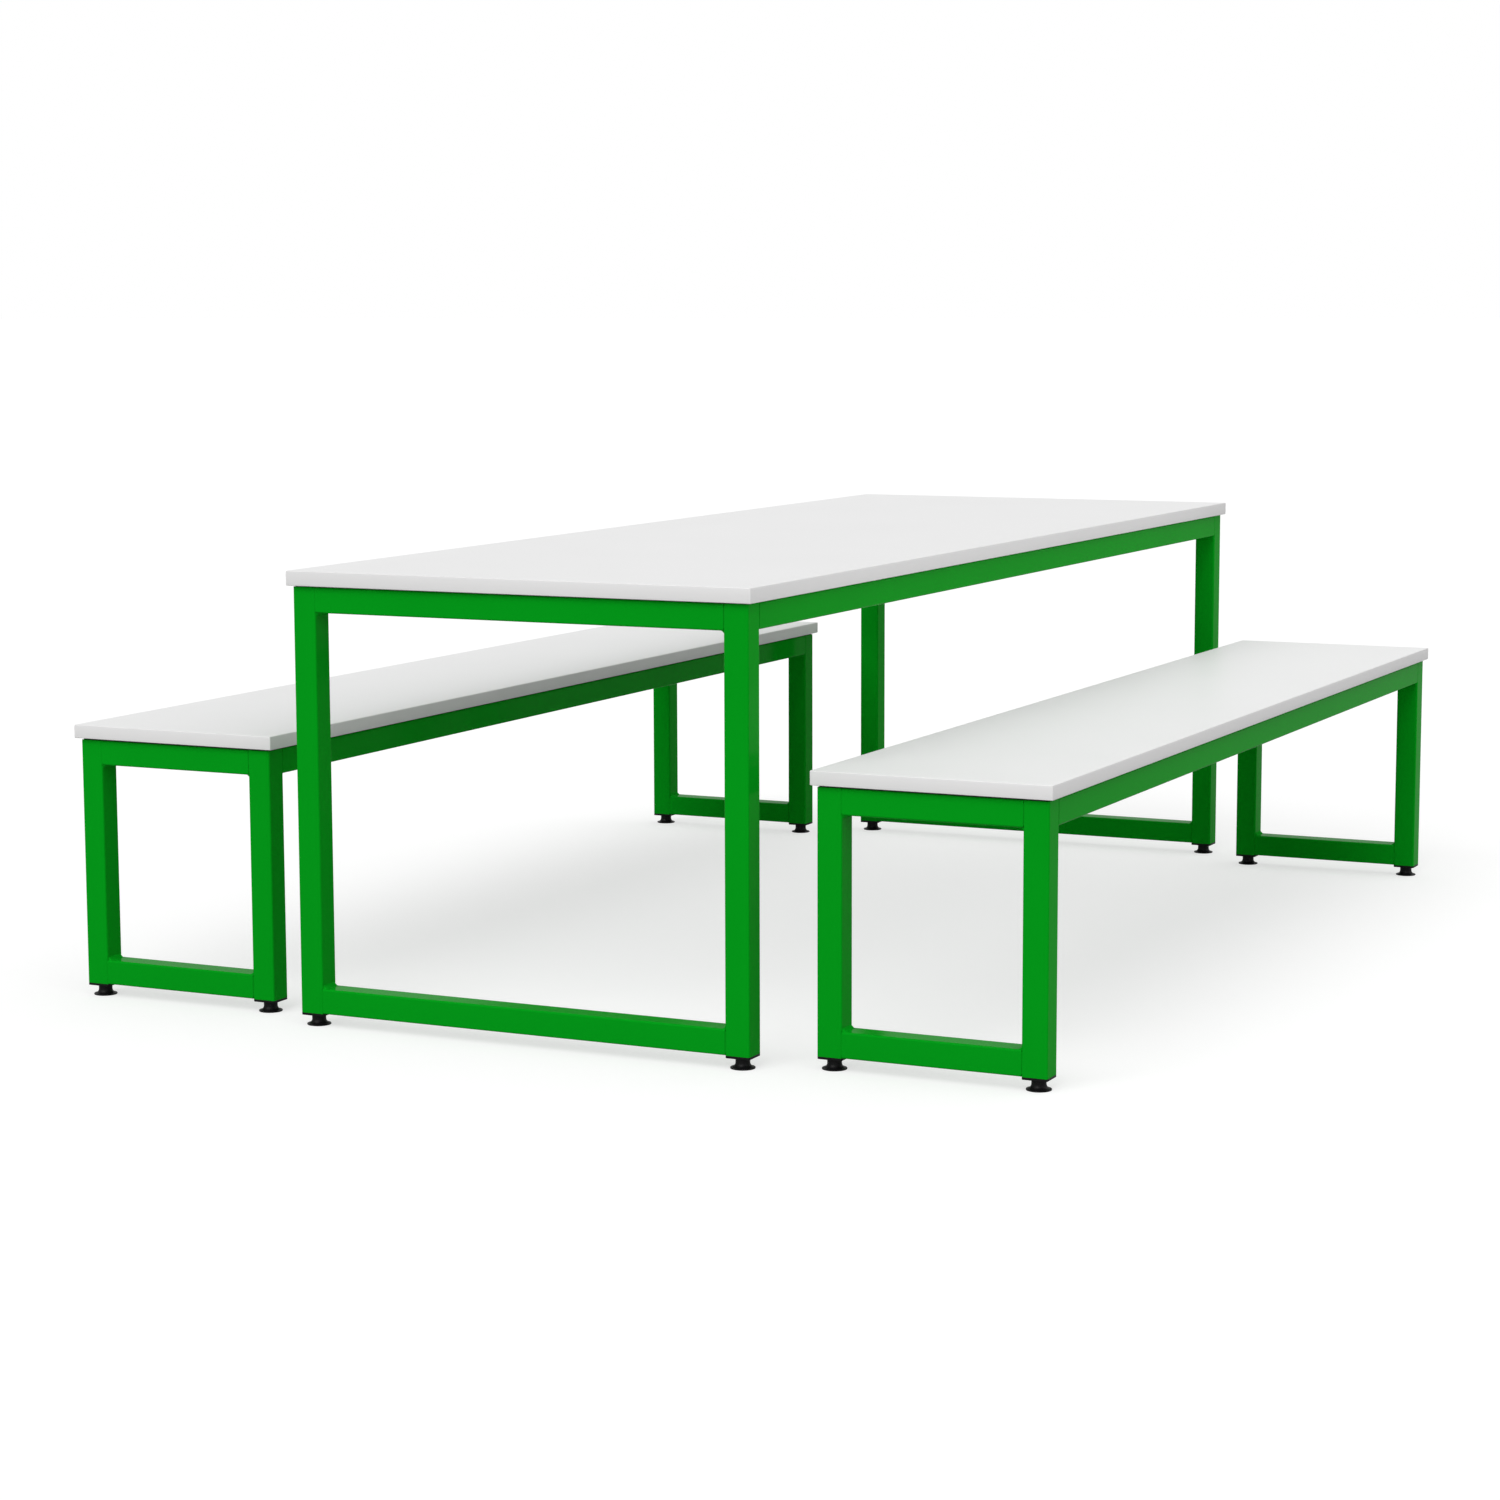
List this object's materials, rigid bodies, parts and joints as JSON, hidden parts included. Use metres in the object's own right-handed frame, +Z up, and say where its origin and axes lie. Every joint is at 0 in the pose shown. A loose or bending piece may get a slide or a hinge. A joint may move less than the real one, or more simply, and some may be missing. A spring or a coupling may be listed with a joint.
{
  "type": "dining table with benches",
  "caption": "Long canteen table with a white edged board on a green square-tube frame, and matching benches that slide in under it.",
  "frame": {"origin": "on the floor, under the middle of the table top", "axes": "+X across the table towards the right bench, +Y along the table towards its rear end, +Z up"},
  "size_m": [1.7, 2.25, 0.72],
  "materials": {
    "frame_green": "gloss powder coat",
    "board_white": "white melamine face",
    "edging_white": "satin edging",
    "screw_steel": "zinc plated",
    "foot_black": "moulded black"
  },
  "bodies": {
    "table": {"table_front_left_leg": "frame_green", "table_front_right_leg": "frame_green", "table_rear_left_leg": "frame_green", "table_rear_right_leg": "frame_green", "table_front_top_rail": "frame_green", "table_front_bottom_rail": "frame_green", "table_rear_top_rail": "frame_green", "table_rear_bottom_rail": "frame_green", "table_left_side_rail": "frame_green", "table_right_side_rail": "frame_green", "table_weld_beads": "frame_green", "table_fixing_lugs": "frame_green", "table_top_board": "board_white", "table_top_edging": "edging_white", "table_top_screws": "screw_steel", "table_foot_inserts": "foot_black"},
    "table_front_left_foot": {"table_front_left_foot": "foot_black"},
    "table_front_right_foot": {"table_front_right_foot": "foot_black"},
    "table_rear_left_foot": {"table_rear_left_foot": "foot_black"},
    "table_rear_right_foot": {"table_rear_right_foot": "foot_black"},
    "left_bench": {"left_bench_front_left_leg": "frame_green", "left_bench_front_right_leg": "frame_green", "left_bench_rear_left_leg": "frame_green", "left_bench_rear_right_leg": "frame_green", "left_bench_front_top_rail": "frame_green", "left_bench_front_bottom_rail": "frame_green", "left_bench_rear_top_rail": "frame_green", "left_bench_rear_bottom_rail": "frame_green", "left_bench_left_side_rail": "frame_green", "left_bench_right_side_rail": "frame_green", "left_bench_weld_beads": "frame_green", "left_bench_fixing_lugs": "frame_green", "left_bench_top_board": "board_white", "left_bench_top_edging": "edging_white", "left_bench_top_screws": "screw_steel", "left_bench_foot_inserts": "foot_black"},
    "left_bench_front_left_foot": {"left_bench_front_left_foot": "foot_black"},
    "left_bench_front_right_foot": {"left_bench_front_right_foot": "foot_black"},
    "left_bench_rear_left_foot": {"left_bench_rear_left_foot": "foot_black"},
    "left_bench_rear_right_foot": {"left_bench_rear_right_foot": "foot_black"},
    "right_bench": {"right_bench_front_left_leg": "frame_green", "right_bench_front_right_leg": "frame_green", "right_bench_rear_left_leg": "frame_green", "right_bench_rear_right_leg": "frame_green", "right_bench_front_top_rail": "frame_green", "right_bench_front_bottom_rail": "frame_green", "right_bench_rear_top_rail": "frame_green", "right_bench_rear_bottom_rail": "frame_green", "right_bench_left_side_rail": "frame_green", "right_bench_right_side_rail": "frame_green", "right_bench_weld_beads": "frame_green", "right_bench_fixing_lugs": "frame_green", "right_bench_top_board": "board_white", "right_bench_top_edging": "edging_white", "right_bench_top_screws": "screw_steel", "right_bench_foot_inserts": "foot_black"},
    "right_bench_front_left_foot": {"right_bench_front_left_foot": "foot_black"},
    "right_bench_front_right_foot": {"right_bench_front_right_foot": "foot_black"},
    "right_bench_rear_left_foot": {"right_bench_rear_left_foot": "foot_black"},
    "right_bench_rear_right_foot": {"right_bench_rear_right_foot": "foot_black"}
  },
  "joints": [
    {"name": "right_bench_push_in", "type": "slide", "parent": "table", "child": "right_bench", "axis": [-1, 0, 0], "range_m": [-0.3, 0.465]},
    {"name": "left_bench_push_in", "type": "slide", "parent": "table", "child": "left_bench", "axis": [1, 0, 0], "range_m": [-0.3, 0.465]},
    {"name": "table_front_left_foot_screw", "type": "slide", "parent": "table", "child": "table_front_left_foot", "axis": [0, 0, -1], "range_m": [0, 0.015]},
    {"name": "table_front_right_foot_screw", "type": "slide", "parent": "table", "child": "table_front_right_foot", "axis": [0, 0, -1], "range_m": [0, 0.015]},
    {"name": "table_rear_left_foot_screw", "type": "slide", "parent": "table", "child": "table_rear_left_foot", "axis": [0, 0, -1], "range_m": [0, 0.015]},
    {"name": "table_rear_right_foot_screw", "type": "slide", "parent": "table", "child": "table_rear_right_foot", "axis": [0, 0, -1], "range_m": [0, 0.015]},
    {"name": "left_bench_front_left_foot_screw", "type": "slide", "parent": "left_bench", "child": "left_bench_front_left_foot", "axis": [0, 0, -1], "range_m": [0, 0.015]},
    {"name": "left_bench_front_right_foot_screw", "type": "slide", "parent": "left_bench", "child": "left_bench_front_right_foot", "axis": [0, 0, -1], "range_m": [0, 0.015]},
    {"name": "left_bench_rear_left_foot_screw", "type": "slide", "parent": "left_bench", "child": "left_bench_rear_left_foot", "axis": [0, 0, -1], "range_m": [0, 0.015]},
    {"name": "left_bench_rear_right_foot_screw", "type": "slide", "parent": "left_bench", "child": "left_bench_rear_right_foot", "axis": [0, 0, -1], "range_m": [0, 0.015]},
    {"name": "right_bench_front_left_foot_screw", "type": "slide", "parent": "right_bench", "child": "right_bench_front_left_foot", "axis": [0, 0, -1], "range_m": [0, 0.015]},
    {"name": "right_bench_front_right_foot_screw", "type": "slide", "parent": "right_bench", "child": "right_bench_front_right_foot", "axis": [0, 0, -1], "range_m": [0, 0.015]},
    {"name": "right_bench_rear_left_foot_screw", "type": "slide", "parent": "right_bench", "child": "right_bench_rear_left_foot", "axis": [0, 0, -1], "range_m": [0, 0.015]},
    {"name": "right_bench_rear_right_foot_screw", "type": "slide", "parent": "right_bench", "child": "right_bench_rear_right_foot", "axis": [0, 0, -1], "range_m": [0, 0.015]}
  ]
}
